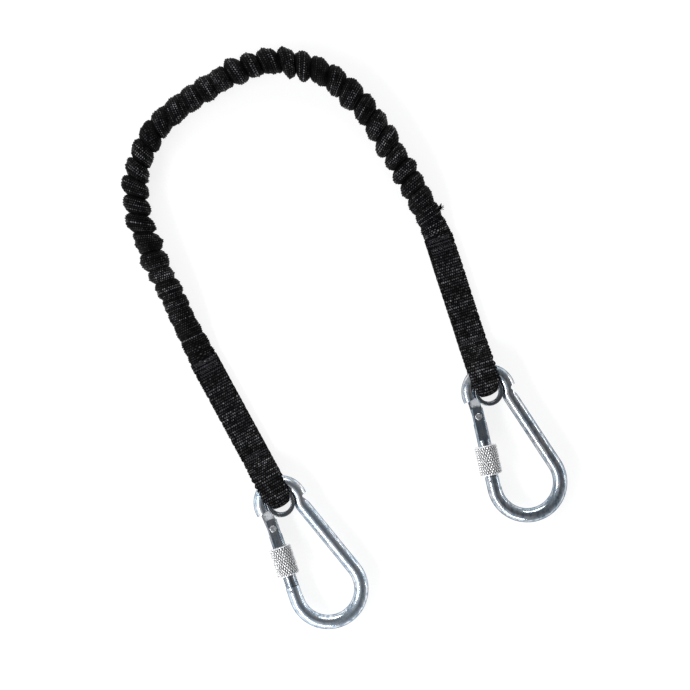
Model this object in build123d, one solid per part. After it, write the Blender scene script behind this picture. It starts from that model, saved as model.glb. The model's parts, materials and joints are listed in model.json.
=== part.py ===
from build123d import *
import math
import os

# Shock absorbing tool lanyard: one tube of webbing gathered over an elastic core, folded and sewn
# into a flat loop at each end, with a screw-lock steel carabiner captive in each loop.
# It lies on a flat surface at z = 0. Millimetres, +Z up.

# Webbing
WEBBING_WIDTH = 15.0
PLY = 1.8                      # the webbing tube pressed flat
LOOP_GAP = 0.4                 # slack between the webbing and the eye, above and below
FOLD_CENTRE = 4.3              # up the leg from the eye centre to the centre of the fold
THROAT_WIDTH = 10.2            # the webbing bunched inside the eye
THROAT_START = 2.4             # below this it has the throat's width
FULL_WIDTH_FROM = 4.0
LOOP_FLAT_END = 15.2           # where the upper ply starts down towards the lower one
PLIES_MEET = 25.8              # where both plies lie together
INNER_SETBACK = 0.7            # the upper ply's lower side turns this much nearer the eye
LEG_TOP = 92.0                 # end of the flat leg, where the gathers start
LOWER_TACK = (28.8, 5.4)       # centre up the leg, and length along it
UPPER_TACK = (86.6, 9.0)
TACK_WIDTH = 12.6
TACK_HEIGHT = 0.4

# Gathered stretch
COVER_RADIUS = 7.25
COVER_BORE = 4.3
CORE_RADIUS = 4.0
CORD_Z = COVER_RADIUS
LEG_TO_CORD = 1.0
# Route of the gathered stretch, from the left leg to the right one. Its first and last points are
# worked out from the legs.
ROUTE = [
    (-109.0, 60.0),
    (-120.0, 84.0),
    (-131.0, 106.0),
    (-137.0, 130.0),
    (-134.0, 153.5),
    (-123.0, 172.0),
    (-104.5, 186.5),
    (-82.5, 200.0),
    (-58.0, 207.5),
    (-34.0, 202.5),
    (-13.5, 187.0),
    (4.0, 163.5),
    (18.0, 139.0),
    (28.0, 120.0),
]

# Carabiner, drawn with the eye centre at its origin and the hook down along -Y
WIRE = 4.0
EYE_TO_HOOK = 55.2
HALF_ANGLE = 10.35             # each straight leg flares by this much
LEG_OFFSET = 8.6               # eye centre to the line of each straight leg
BOW_RADIUS = 11.3
NECK_RADIUS = 6.0
LIP_ANGLE = 94.0               # the full bow ends this far round from its top, on both sides
THIMBLE_BORE = 5.7
THIMBLE_LIP = 8.0
THIMBLE_HALF_HEIGHT = 4.3
THIMBLE_ROUNDING = 0.6
GROOVE_PLAY = 0.06
TANG_HALF = 1.55
TANG_RADIUS = 3.2
TANG_FLAT = 2.2

# Gate, measured along its leg from the hinge rivet towards the nose
RIVET_ALONG = 12.45            # rivet, from the point of the leg nearest the eye centre
NOSE_FACE = 34.3
GATE_END = 33.9
GATE_TOP = -5.3
ARCH_RADIUS = 6.5
GATE_RADIUS = 3.7
GATE_FLAT = 2.7
FLAT_END = 13.4
THREAD_START = 20.2
THREAD_PITCH = 1.25
THREAD_DEPTH = 0.35
FORK_HALF = 1.68
FORK_BOTTOM = 3.9
RIVET_RADIUS = 1.3
RIVET_HEAD = 1.9
RUNNING = 0.06
PLUNGER_RADIUS = 1.5
PLUNGER_TIP = 2.3
PLUNGER_LENGTH = 6.0
SPRING_BOTTOM = 19.0
SPRING_TURNS = 7
SPRING_WIRE = 0.22
SLOT_HALF = 1.7                # slot in the nose, open towards the inside of the hook
SLOT_OUTER_WALL = -2.4
SLOT_BOTTOM = 41.0
TONGUE_HALF = 1.4
TONGUE_END = 40.4
TONGUE_HEAD = 2.4
PIN_AT = (36.6, -1.1)          # along the gate, and towards the inside
PIN_RADIUS = 0.85

# Screw sleeve
SLEEVE_RADIUS = 6.4
SLEEVE_LENGTH = 16.7
SLEEVE_RELIEF = 4.45
SLEEVE_RELIEF_DEPTH = 5.6

# Where each end lies: eye centre, leg angle and carabiner angle (anticlockwise from above, with
# the leg up and the hook down), and how far along the gate the sleeve's lower end stands
PLANE_Z = PLY + LOOP_GAP + THIMBLE_HALF_HEIGHT
ENDS = {
    "left": {"eye": (-55.0, -40.6), "leg": 28.5, "hook": 28.8, "sleeve": 27.6},
    "right": {"eye": (61.35, 21.6), "leg": 18.0, "hook": 23.0, "sleeve": 33.4},
}


def leg_place(end):
    return Location((*end["eye"], 0), (0, 0, end["leg"]))


def hook_place(end):
    return Location((*end["eye"], PLANE_Z), (0, 0, end["hook"]))


def up_leg(end, distance):
    turn = math.radians(end["leg"])
    x, y = end["eye"]
    return (x - distance * math.sin(turn), y + distance * math.cos(turn))


def polar(radius, degrees):
    return (radius * math.cos(math.radians(degrees)), radius * math.sin(math.radians(degrees)))


def prism(points, low, high):
    """A flat outline in the XY plane, from z = low to z = high."""
    outline = make_face(Polyline(*points, close=True))
    return Pos(0, 0, low) * extrude(outline, high - low)


# ---- webbing ----

def end_strap():
    """One end's webbing: two sewn plies, opening into the loop that holds the eye."""
    top = 2 * PLANE_Z
    inner_top = top - PLY
    outer = [
        Line((LEG_TOP, 2 * PLY), (LEG_TOP, 0)),
        Line((LEG_TOP, 0), (FOLD_CENTRE, 0)),
        ThreePointArc((FOLD_CENTRE, 0), (FOLD_CENTRE - PLANE_Z, PLANE_Z), (FOLD_CENTRE, top)),
        Line((FOLD_CENTRE, top), (LOOP_FLAT_END, top)),
        Line((LOOP_FLAT_END, top), (PLIES_MEET, 2 * PLY)),
        Line((PLIES_MEET, 2 * PLY), (LEG_TOP, 2 * PLY)),
    ]
    bend = PLANE_Z - PLY
    throat = [
        Line((PLIES_MEET - INNER_SETBACK, PLY), (FOLD_CENTRE, PLY)),
        ThreePointArc((FOLD_CENTRE, PLY), (FOLD_CENTRE - bend, PLANE_Z), (FOLD_CENTRE, inner_top)),
        Line((FOLD_CENTRE, inner_top), (LOOP_FLAT_END - INNER_SETBACK, inner_top)),
        Line((LOOP_FLAT_END - INNER_SETBACK, inner_top), (PLIES_MEET - INNER_SETBACK, PLY)),
    ]
    side = make_face(Wire(outer)) - make_face(Wire(throat))
    half = WEBBING_WIDTH / 2
    # the side view is drawn along the leg and up, then turned so that the leg runs along +Y
    band = extrude(Plane.YZ * side, half, both=True)
    plan = [
        (-half, LEG_TOP + 1),
        (-half, FULL_WIDTH_FROM),
        (-THROAT_WIDTH / 2, THROAT_START),
        (-THROAT_WIDTH / 2, -PLANE_Z),
        (THROAT_WIDTH / 2, -PLANE_Z),
        (THROAT_WIDTH / 2, THROAT_START),
        (half, FULL_WIDTH_FROM),
        (half, LEG_TOP + 1),
    ]
    return band & prism(plan, -1, top + 1)


def bar_tack(centre, length):
    """A block of zigzag stitching, standing on the upper ply."""
    middle = 2 * PLY + TACK_HEIGHT / 2
    return Pos(0, centre, middle) * Box(TACK_WIDTH, length, TACK_HEIGHT)


def cord_path():
    left, right = ENDS["left"], ENDS["right"]
    first = up_leg(left, LEG_TOP + LEG_TO_CORD)
    last = up_leg(right, LEG_TOP + LEG_TO_CORD)
    points = [Vector(x, y, CORD_Z) for x, y in [first, *ROUTE, last]]
    radii = []
    for before, at, after in zip(points, points[1:], points[2:]):
        turn = math.radians((at - before).get_angle(after - at))
        shorter = min((at - before).length, (after - at).length)
        radii.append(0.45 * shorter / math.tan(turn / 2))
    return FilletPolyline(*points, radius=radii)


def cord(path, outer, inner=0.0):
    start = Plane(origin=path @ 0, z_dir=path % 0)
    section = Circle(outer)
    if inner:
        section -= Circle(inner)
    return sweep(start * section, path=path)


# ---- carabiner ----

def leg_point(along, inward=0.0, side=-1):
    """A point on a straight leg: along it from nearest the eye, and in from its centre line."""
    turn = math.radians(HALF_ANGLE)
    outward = LEG_OFFSET - inward
    x = outward * math.cos(turn) + along * math.sin(turn)
    y = outward * math.sin(turn) - along * math.cos(turn)
    return (side * x, y)


def gate_point(along, inward=0.0):
    """The same on the gate's leg, with along counted from the hinge rivet."""
    return leg_point(RIVET_ALONG + along, inward)


def gate_plane(along):
    """Plane across the gate at this place: its X points into the hook, its Z to the nose."""
    x, y = gate_point(along)
    nose_x, nose_y = gate_point(along + 1)
    in_x, in_y = gate_point(along, 1)
    return Plane(origin=(x, y, 0), x_dir=(in_x - x, in_y - y, 0), z_dir=(nose_x - x, nose_y - y, 0))


def gate_bar(radius, start, end):
    return extrude(gate_plane(start) * Circle(radius), end - start)


def gate_slab(corners, half):
    """A flat piece in the carabiner's plane, its corners given along and into the gate."""
    return prism([gate_point(along, inward) for along, inward in corners], -half, half)


def wire_path():
    """Centre line of the body's wire, from the nose round the hook and up to the bow's left end."""
    turn = math.radians(HALF_ANGLE)
    hook = LEG_OFFSET + EYE_TO_HOOK * math.sin(turn)
    foot = EYE_TO_HOOK * math.cos(turn)
    neck_out = LEG_OFFSET + NECK_RADIUS
    neck_along = math.sqrt((BOW_RADIUS + NECK_RADIUS) ** 2 - neck_out ** 2)
    neck_centre = Vector(*leg_point(neck_along, -NECK_RADIUS, 1))
    bow_start = neck_centre.normalized() * BOW_RADIUS
    neck_start = Vector(*leg_point(neck_along, 0, 1))
    middle = ((bow_start - neck_centre) + (neck_start - neck_centre)).normalized() * NECK_RADIUS
    left_hook, right_hook = leg_point(foot), leg_point(foot, 0, 1)
    return Wire([
        Line(gate_point(NOSE_FACE), left_hook),
        ThreePointArc(left_hook, (0, -EYE_TO_HOOK - hook), right_hook),
        Line(right_hook, neck_start),
        ThreePointArc(neck_start, neck_centre + middle, bow_start),
        ThreePointArc(bow_start, (0, BOW_RADIUS), polar(BOW_RADIUS, 90 + LIP_ANGLE)),
    ])


def hinge_tang():
    """The flattened end of the wire that the gate is riveted to, with a flat for the plunger."""
    root = Vector(*polar(9.75, 90 + LIP_ANGLE - 9))
    rivet = Vector(*gate_point(0))
    across = (rivet - root).normalized().rotate(Axis.Z, 90) * TANG_RADIUS
    neck = prism([root + across, root - across, rivet - across, rivet + across], -TANG_HALF, TANG_HALF)
    disc = Pos(*rivet) * Cylinder(TANG_RADIUS, 2 * TANG_HALF)
    tang = neck + disc - Cylinder(THIMBLE_LIP - 0.3, 4 * WIRE)
    tang -= gate_slab([(TANG_FLAT, -6), (TANG_FLAT, 6), (8, 6), (8, -6)], WIRE)
    return tang - Pos(*rivet) * Cylinder(RIVET_RADIUS + RUNNING, 4 * WIRE)


def gate_tongue():
    """The hooked tongue on the gate's end that catches the nose's pin under load."""
    head = TONGUE_END - TONGUE_HEAD
    corners = [
        (GATE_END - 1, 0.3),
        (head, 0.3),
        (head, -1.5),
        (TONGUE_END - 0.4, -1.5),
        (TONGUE_END, -1.1),
        (TONGUE_END, 2.2),
        (GATE_END - 1, 2.2),
    ]
    return gate_slab(corners, TONGUE_HALF)


def carabiner_body():
    path = wire_path()
    wire = sweep(gate_plane(NOSE_FACE) * Circle(WIRE), path=path)
    # the step at the outer side of the wire where the bow ends and the spine starts
    lip = 90 - LIP_ANGLE
    step = [polar(17.5, lip + 0.5), polar(12.7, lip - 5), polar(12.5, lip - 11), polar(17.5, lip - 27)]
    wire -= prism(step, -WIRE - 1, WIRE + 1)
    slot = [(NOSE_FACE - 1, SLOT_OUTER_WALL), (NOSE_FACE - 1, 6), (SLOT_BOTTOM, 6),
            (SLOT_BOTTOM, SLOT_OUTER_WALL)]
    wire -= gate_slab(slot, SLOT_HALF)
    x, y = gate_point(*PIN_AT)
    wire -= Pos(x, y) * Cylinder(PIN_RADIUS, 4 * WIRE)
    return wire + hinge_tang()


def eye_thimble():
    """Flanged ring in the bow: a round bore inside, and outside it a groove for the wire."""
    depth = THIMBLE_LIP - THIMBLE_BORE
    block = Pos((THIMBLE_LIP + THIMBLE_BORE) / 2, 0) * Rectangle(depth, 2 * THIMBLE_HALF_HEIGHT)
    block = fillet(block.vertices(), THIMBLE_ROUNDING)
    half_section = block - Pos(BOW_RADIUS, 0) * Circle(WIRE + GROOVE_PLAY)
    return revolve(Plane.XZ * half_section, Axis.Z)


def gate():
    bar = gate_bar(GATE_RADIUS, GATE_TOP, GATE_END)
    for side in (-1, 1):
        flat = Pos(0, 0, side * (GATE_FLAT + 2)) * gate_slab(
            [(GATE_TOP - 1, -6), (GATE_TOP - 1, 6), (FLAT_END, 6), (FLAT_END, -6)], 2)
        bar -= flat
    x, y = gate_point(GATE_TOP + ARCH_RADIUS)
    rest = gate_slab([(0, -6), (0, 6), (GATE_END + 1, 6), (GATE_END + 1, -6)], 2 * WIRE)
    bar &= Pos(x, y) * Cylinder(ARCH_RADIUS, 4 * WIRE) + rest
    fork = [(GATE_TOP - 1, -6), (GATE_TOP - 1, 6), (FORK_BOTTOM, 6), (FORK_BOTTOM, -6)]
    bar -= gate_slab(fork, FORK_HALF)
    bar -= gate_bar(PLUNGER_RADIUS + RUNNING, 0, SPRING_BOTTOM)
    x, y = gate_point(0)
    bar -= Pos(x, y) * Cylinder(RIVET_RADIUS, 4 * WIRE)
    crest = GATE_RADIUS + 1
    for turn in range(int((GATE_END - THREAD_START) / THREAD_PITCH)):
        start = THREAD_START + turn * THREAD_PITCH
        band = gate_bar(crest, start, start + THREAD_PITCH / 2)
        bar -= band - gate_bar(GATE_RADIUS - THREAD_DEPTH, start, start + THREAD_PITCH / 2)
    return bar + gate_tongue()


def hinge_rivet():
    x, y = gate_point(0)
    rivet = Cylinder(RIVET_RADIUS, 2 * GATE_FLAT)
    for side in (-1, 1):
        head = Pos(0, 0, side * (GATE_FLAT + 0.3)) * Cylinder(RIVET_HEAD, 0.6)
        outer = head.edges().filter_by(GeomType.CIRCLE).sort_by(Axis.Z)[-1 if side > 0 else 0]
        rivet += fillet(outer, 0.4)
    return Pos(x, y) * rivet


def latch_pin():
    x, y = gate_point(*PIN_AT)
    return Pos(x, y) * Cylinder(PIN_RADIUS, 6.6)


def gate_plunger():
    body = gate_bar(PLUNGER_RADIUS, PLUNGER_TIP, PLUNGER_TIP + PLUNGER_LENGTH)
    back = body.edges().filter_by(GeomType.CIRCLE).sort_by(Axis.Y)[0]
    return chamfer(back, 0.4)


def gate_spring():
    start = PLUNGER_TIP + PLUNGER_LENGTH + SPRING_WIRE + 0.05
    length = SPRING_BOTTOM - start - SPRING_WIRE - 0.05
    radius = PLUNGER_RADIUS - SPRING_WIRE - 0.05
    coil = Helix(pitch=length / SPRING_TURNS, height=length, radius=radius)
    section = Plane(origin=coil @ 0, z_dir=coil % 0) * Circle(SPRING_WIRE)
    return gate_plane(start).location * sweep(section, path=coil)


def lock_sleeve(lower_end):
    """The knurled screw sleeve, its lower end this far along the gate."""
    upper_end = lower_end - SLEEVE_LENGTH
    outside = gate_bar(SLEEVE_RADIUS, upper_end, lower_end)
    outside = chamfer(outside.edges().filter_by(GeomType.CIRCLE), 0.5)
    bore = gate_bar(GATE_RADIUS + RUNNING, upper_end - 1, lower_end + 1)
    relief = gate_bar(SLEEVE_RELIEF, lower_end - SLEEVE_RELIEF_DEPTH, lower_end + 1)
    return outside - bore - relief


# ---- the assembly ----

os.makedirs("parts", exist_ok=True)
path = cord_path()
nodes = {
    "gathered_cover": cord(path, COVER_RADIUS, COVER_BORE),
    "elastic_core": cord(path, CORE_RADIUS),
}
for side, end in ENDS.items():
    on_leg, on_hook = leg_place(end), hook_place(end)
    nodes[f"{side}_end_strap"] = on_leg * end_strap()
    nodes[f"{side}_lower_bar_tack"] = on_leg * bar_tack(*LOWER_TACK)
    nodes[f"{side}_upper_bar_tack"] = on_leg * bar_tack(*UPPER_TACK)
    nodes[f"{side}_carabiner_body"] = on_hook * carabiner_body()
    nodes[f"{side}_eye_thimble"] = on_hook * eye_thimble()
    nodes[f"{side}_gate"] = on_hook * gate()
    nodes[f"{side}_hinge_rivet"] = on_hook * hinge_rivet()
    nodes[f"{side}_latch_pin"] = on_hook * latch_pin()
    nodes[f"{side}_gate_plunger"] = on_hook * gate_plunger()
    nodes[f"{side}_gate_spring"] = on_hook * gate_spring()
    nodes[f"{side}_lock_sleeve"] = on_hook * lock_sleeve(end["sleeve"])
for name, shape in nodes.items():
    export_step(shape, f"parts/{name}.step")

for name in ("gathered_cover", "elastic_core"):
    print(name, "volume", round(nodes[name].volume), "length of path", round(path.length, 1))
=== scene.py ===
"""Looks for the shock absorbing lanyard: webbing, gathers, stitching, knurling, metal, floor and light.

Places read from the frame, the camera, the cord's route, the lights and the materials' bumps are in
metres. The pieces are shaped in millimetres, and MM makes metres of them when their mesh is made.
"""

import json
import math

import bpy
import numpy as np
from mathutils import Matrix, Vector


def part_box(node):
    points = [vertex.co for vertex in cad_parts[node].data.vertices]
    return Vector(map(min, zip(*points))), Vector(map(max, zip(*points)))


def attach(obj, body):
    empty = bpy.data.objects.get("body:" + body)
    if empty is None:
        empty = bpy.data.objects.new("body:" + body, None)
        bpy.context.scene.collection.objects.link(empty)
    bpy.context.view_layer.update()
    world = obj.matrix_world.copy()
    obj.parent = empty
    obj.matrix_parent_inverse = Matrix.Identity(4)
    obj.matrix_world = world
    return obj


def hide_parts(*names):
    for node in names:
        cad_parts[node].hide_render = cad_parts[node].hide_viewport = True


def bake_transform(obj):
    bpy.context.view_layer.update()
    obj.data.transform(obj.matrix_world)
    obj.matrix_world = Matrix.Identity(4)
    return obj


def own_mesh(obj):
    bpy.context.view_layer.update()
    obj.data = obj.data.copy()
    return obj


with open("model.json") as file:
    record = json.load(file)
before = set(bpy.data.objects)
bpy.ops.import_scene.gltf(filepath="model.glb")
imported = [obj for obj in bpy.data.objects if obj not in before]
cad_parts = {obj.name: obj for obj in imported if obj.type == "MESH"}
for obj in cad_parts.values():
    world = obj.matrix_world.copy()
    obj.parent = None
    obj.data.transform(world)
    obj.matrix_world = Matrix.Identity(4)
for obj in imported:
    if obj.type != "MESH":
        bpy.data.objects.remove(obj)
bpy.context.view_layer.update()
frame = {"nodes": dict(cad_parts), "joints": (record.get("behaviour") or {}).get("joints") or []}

MM = 0.001
SIDES = ("left", "right")
STRAP_BODY = {"left": "lanyard", "right": "right_end"}
JOINTS = {joint["name"]: joint for joint in frame["joints"]}


# ---- places, read from the frame ----

def middle(node):
    """The middle of a CAD node's box."""
    low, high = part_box(node)
    return (low + high) / 2


def flat(vector):
    return Vector((vector.x, vector.y, 0.0))


def eye(side):
    """The centre of one carabiner's eye, on the floor below it."""
    return flat(Vector(JOINTS[f"{side}_carabiner_swing"]["pos_m"]))


def up_leg(side):
    """The direction of one end strap, away from its carabiner."""
    lower, upper = middle(f"{side}_lower_bar_tack"), middle(f"{side}_upper_bar_tack")
    return flat(upper - lower).normalized()


def on_leg(side, points):
    """World points from points given across the strap, up it from the eye and up from the floor."""
    up = up_leg(side)
    across = Vector((up.y, -up.x, 0.0))
    axes = np.array([across, up, (0, 0, 1)])
    return np.asarray(points) @ axes + np.array(eye(side))


# ---- camera ----

# sizes in metres, lens and sensor in mm
VIEW_CENTRE = (-0.01905, 0.0476)
VIEW_WIDTH = 0.3864
LENS = 120.0
SENSOR = 36.0
PLANE_Z = 0.0065


def make_camera():
    """Straight above, with VIEW_WIDTH across the picture at the height of the carabiners' middle."""
    data = bpy.data.cameras.new("camera")
    data.lens = LENS
    data.sensor_width = SENSOR
    data.clip_start = 0.05
    data.clip_end = 50.0
    camera = bpy.data.objects.new("camera", data)
    bpy.context.scene.collection.objects.link(camera)
    camera.location = (*VIEW_CENTRE, PLANE_Z + VIEW_WIDTH * LENS / SENSOR)
    bpy.context.scene.camera = camera


# ---- meshes ----

def new_mesh(name, points, faces, uv=None, values=None, smooth=True):
    """A mesh object from arrays: points, faces, uv for each face corner, and values for each point."""
    mesh = bpy.data.meshes.new(name)
    mesh.from_pydata(np.asarray(points).reshape(-1, 3).tolist(), [], faces)
    if uv is not None:
        layer = mesh.uv_layers.new(name="weave")
        layer.data.foreach_set("uv", np.asarray(uv, np.float32).ravel())
    for key, value in (values or {}).items():
        attribute = mesh.attributes.new(key, "FLOAT", "POINT")
        attribute.data.foreach_set("value", np.asarray(value, np.float32).ravel())
    mesh.polygons.foreach_set("use_smooth", [smooth] * len(mesh.polygons))
    mesh.update()
    piece = bpy.data.objects.new(name, mesh)
    bpy.context.scene.collection.objects.link(piece)
    return piece


def tube_faces(rings, around, first=0, caps=True):
    """Quads of a tube whose points go ring by ring, and a cap at each end."""
    ring, column = np.meshgrid(np.arange(rings - 1), np.arange(around), indexing="ij")
    after = (column + 1) % around
    quads = np.stack([
        ring * around + column,
        ring * around + after,
        (ring + 1) * around + after,
        (ring + 1) * around + column,
    ], axis=-1).reshape(-1, 4) + first
    faces = quads.tolist()
    if caps:
        faces.append((np.arange(around)[::-1] + first).tolist())
        faces.append((np.arange(around) + (rings - 1) * around + first).tolist())
    return faces


def tube_uv(rings, around, u, v):
    """The uv of tube_faces' corners: u grows by one around for each column, v is each ring's own."""
    ring, column = np.meshgrid(np.arange(rings - 1), np.arange(around), indexing="ij")
    u_of = np.append(u, u[-1] + (u[-1] - u[-2]))
    corners = np.stack([
        np.stack([u_of[column], v[ring]], -1),
        np.stack([u_of[column + 1], v[ring]], -1),
        np.stack([u_of[column + 1], v[ring + 1]], -1),
        np.stack([u_of[column], v[ring + 1]], -1),
    ], axis=2).reshape(-1, 2)
    cap = np.stack([u[:around], np.zeros(around)], -1)
    return np.concatenate([corners, cap, cap])


def thread_tube(path, radius, sides=6):
    """Points of a thin round tube along a path, ring by ring."""
    path = np.asarray(path, float)
    along = np.gradient(path, axis=0)
    along /= np.linalg.norm(along, axis=1)[:, None]
    helper = np.where(np.abs(along[:, 2:3]) > 0.9, [[1.0, 0, 0]], [[0, 0, 1.0]])
    one = np.cross(along, helper)
    one /= np.linalg.norm(one, axis=1)[:, None]
    two = np.cross(along, one)
    angle = np.arange(sides) * 2 * math.pi / sides
    circle = one[:, None] * np.cos(angle)[:, None] + two[:, None] * np.sin(angle)[:, None]
    return path[:, None] + circle * np.reshape(radius, (-1, 1, 1))


def threads(name, paths, radius, sides=6):
    """Many thin tubes as one mesh."""
    points, faces, count = [], [], 0
    for path in paths:
        tube = thread_tube(path, radius, sides)
        points.append(tube.reshape(-1, 3))
        faces += tube_faces(len(tube), sides, count)
        count += len(tube) * sides
    return new_mesh(name, np.concatenate(points), faces)


# ---- materials ----

class Nodes:
    """A node tree, built by short calls."""

    def __init__(self, tree):
        self.tree = tree

    def add(self, kind, links=None, **settings):
        node = self.tree.nodes.new(kind)
        for key, value in settings.items():
            setattr(node, key, value)
        for socket, value in (links or {}).items():
            self.put(node.inputs[socket], value)
        return node

    def put(self, socket, value):
        if isinstance(value, bpy.types.NodeSocket):
            self.tree.links.new(value, socket)
        else:
            socket.default_value = value

    def math(self, operation, *values):
        node = self.add("ShaderNodeMath", operation=operation)
        for socket, value in zip(node.inputs, values):
            self.put(socket, value)
        return node.outputs[0]

    def noise(self, vector, scale, detail=3.0, rough=0.55):
        links = {"Vector": vector, "Scale": scale, "Detail": detail, "Roughness": rough}
        return self.add("ShaderNodeTexNoise", links).outputs["Fac"]

    def stretched(self, vector, scale, turn=0.0):
        """The vector turned back by an angle about Z, then scaled."""
        links = {"Vector": vector, "Scale": tuple(1 / part for part in scale), "Rotation": (0.0, 0.0, turn)}
        return self.add("ShaderNodeMapping", links, vector_type="TEXTURE").outputs[0]

    def ramp(self, factor, *stops):
        node = self.add("ShaderNodeValToRGB", {"Fac": factor})
        elements = node.color_ramp.elements
        while len(elements) < len(stops):
            elements.new(0.5)
        for element, (at, colour) in zip(elements, stops):
            element.position = at
            element.color = (*colour, 1.0)
        return node.outputs["Color"]

    def mix(self, how, factor, first, second):
        """Two colours mixed, multiplied or added."""
        node = self.add("ShaderNodeMix", data_type="RGBA", blend_type=how)
        for socket, value in ((0, factor), (6, first), (7, second)):
            self.put(node.inputs[socket], value)
        return node.outputs[2]

    def range(self, value, low, high, to_low, to_high):
        links = {"Value": value, "From Min": low, "From Max": high, "To Min": to_low, "To Max": to_high}
        return self.add("ShaderNodeMapRange", links).outputs[0]


class Shader(Nodes):
    """A material with one Principled shader."""

    def __init__(self, name):
        self.material = bpy.data.materials.new(name)
        self.material.use_nodes = True
        super().__init__(self.material.node_tree)
        self.surface = self.tree.nodes["Principled BSDF"]

    def set(self, **values):
        for name, value in values.items():
            self.put(self.surface.inputs[name.replace("_", " ")], value)

    def bump(self, height, distance, strength=1.0):
        links = {"Height": height, "Distance": distance, "Strength": strength}
        self.set(Normal=self.add("ShaderNodeBump", links).outputs[0])


def webbing_material():
    """Black woven polyester, with painted highlight on each crown of yarn and painted shade in the gaps
    between.
    """
    shader = Shader("webbing")
    painted_light = shader.add("ShaderNodeAttribute", attribute_name="painted_light").outputs["Fac"]
    uv = shader.add("ShaderNodeUVMap", uv_map="weave").outputs[0]
    cell = shader.add("ShaderNodeVectorMath", {0: uv}, operation="FLOOR").outputs[0]
    chance = shader.add("ShaderNodeTexWhiteNoise", {"Vector": cell}, noise_dimensions="2D").outputs["Value"]
    fibres = shader.noise(shader.stretched(uv, (7.0, 0.7, 1.0)), 1.6, 4.0)
    patches = shader.noise(shader.stretched(uv, (0.08, 0.05, 1.0)), 1.0, 2.0)
    lit = shader.math("MULTIPLY", painted_light, shader.range(chance, 0.0, 1.0, 0.45, 1.3))
    lit = shader.math("MULTIPLY", lit, shader.range(patches, 0.3, 0.7, 0.7, 1.15))
    lit = shader.math("MULTIPLY", lit, shader.range(fibres, 0.3, 0.7, 0.7, 1.25))
    # painted highlight and shade in the base colour: near black in the gaps, light grey on the brightest
    # crowns
    colour = shader.ramp(
        lit,
        (0.0, (0.0012, 0.0012, 0.0014)),
        (0.25, (0.0035, 0.0035, 0.004)),
        (0.5, (0.034, 0.034, 0.037)),
        (0.85, (0.26, 0.26, 0.27)),
    )
    shader.set(
        Base_Color=colour,
        Roughness=shader.range(fibres, 0.3, 0.7, 0.45, 0.65),
        Specular_IOR_Level=shader.range(lit, 0.1, 0.9, 0.03, 0.4),
    )
    shader.bump(fibres, 0.00012, 0.8)
    return shader.material


def thread_material():
    """Sewing thread: dark with a faint purple cast, twisted."""
    shader = Shader("thread")
    place = shader.add("ShaderNodeTexCoord").outputs["Object"]
    twist = shader.noise(place, 4200.0, 3.0)
    tone = shader.noise(place, 500.0, 2.0)
    shader.set(
        Base_Color=shader.ramp(tone, (0.3, (0.010, 0.009, 0.013)), (0.7, (0.042, 0.037, 0.052))),
        Roughness=shader.range(twist, 0.3, 0.7, 0.4, 0.65),
        Specular_IOR_Level=0.4,
    )
    shader.bump(twist, 0.00006, 0.7)
    return shader.material


def rubber_material():
    """Bundled rubber strands under the cover."""
    shader = Shader("rubber_core")
    place = shader.add("ShaderNodeTexCoord").outputs["Object"]
    grain = shader.noise(place, 900.0, 4.0)
    shader.set(
        Base_Color=shader.ramp(grain, (0.3, (0.02, 0.018, 0.016)), (0.75, (0.055, 0.05, 0.045))),
        Roughness=shader.range(grain, 0.3, 0.7, 0.55, 0.8),
        Specular_IOR_Level=0.3,
    )
    shader.bump(grain, 0.0001, 0.6)
    return shader.material


# painted light: the left carabiner's zinc is painted lighter than the right one's
WIRE_PAINTED_LIGHT = {"left": 1.0, "right": 0.75}
WIRE_ROUGH = {"left": 0.2, "right": 0.14}
# painted shade: the thimble and the gate are darker copies of the same zinc
THIMBLE_PAINTED_SHADE, THIMBLE_ROUGH = 0.3, 0.22
GATE_PAINTED_SHADE, GATE_ROUGH = 0.55, 0.16
CRIMP_REACH = 0.0034           # how far the painted highlight on the pressed metal reaches round its middle
CRIMP_BLUR = 0.0008
CRIMP_FROM_PIVOT = 0.0082      # its middle lies this far from the gate's rivet, away from the sleeve
# colour of the painted highlight at the crimp
CRIMP_HIGHLIGHT_COLOUR = (0.93, 0.95, 0.97, 1.0)


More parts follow.
